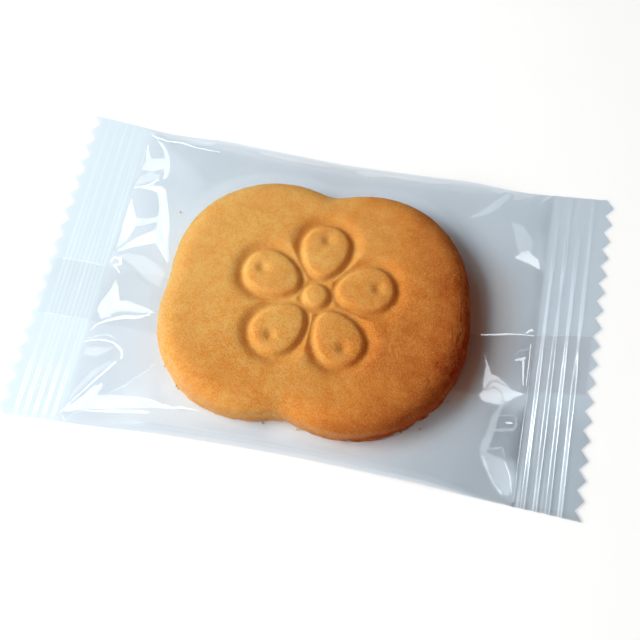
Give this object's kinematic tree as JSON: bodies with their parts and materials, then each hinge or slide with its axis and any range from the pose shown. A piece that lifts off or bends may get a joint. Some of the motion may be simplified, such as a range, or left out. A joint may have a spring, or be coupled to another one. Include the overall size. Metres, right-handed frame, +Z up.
{
  "type": "wrapped vanilla cookie",
  "caption": "Four-lobed vanilla cookie with a pressed blossom on top, sealed in a clear pillow pack with crimped zigzag ends.",
  "frame": {"origin": "on the floor, at the middle of the pack's length and width", "axes": "+X along the pack from one crimped end to the other, +Y across it, +Z up through the cookie's pressed face"},
  "size_m": [0.0904, 0.0558, 0.008],
  "materials": {
    "baked_dough": "matte, sandy baked dough, golden with browner edges",
    "clear_film": "thin clear glossy plastic film"
  },
  "bodies": {
    "root": {"cookie": "baked_dough", "wrapper": "clear_film"}
  },
  "joints": []
}
